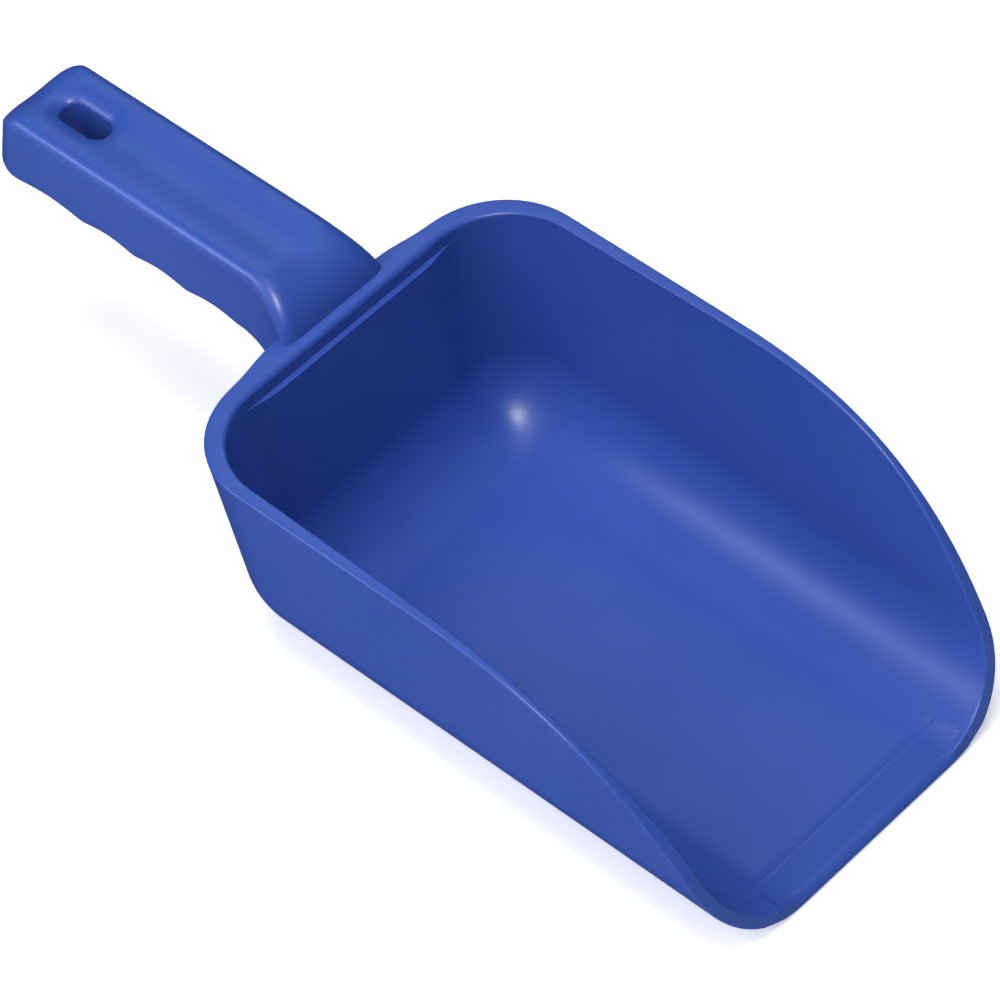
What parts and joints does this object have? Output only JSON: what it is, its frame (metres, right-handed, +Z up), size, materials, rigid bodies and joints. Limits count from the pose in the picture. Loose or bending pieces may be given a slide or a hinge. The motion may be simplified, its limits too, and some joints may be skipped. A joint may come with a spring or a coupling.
{
  "type": "hand scoop",
  "caption": "Open-mouthed moulded plastic feed scoop with a rounded bowl, finger-grip handle and slotted hang hole.",
  "frame": {"origin": "on the table under the middle of the overall width and length, with the scoop standing on its flat floor", "axes": "+Z up; -Y towards the open mouth and lip; +Y towards the end of the handle; X = 0 is the mirror plane"},
  "size_m": [0.1548, 0.3709, 0.1071],
  "materials": {
    "blue_plastic": "semi-gloss moulded polypropylene, coloured through"
  },
  "bodies": {
    "root": {"bowl": "blue_plastic", "rim": "blue_plastic", "lip": "blue_plastic", "neck": "blue_plastic", "grip": "blue_plastic", "collar": "blue_plastic"}
  },
  "joints": []
}
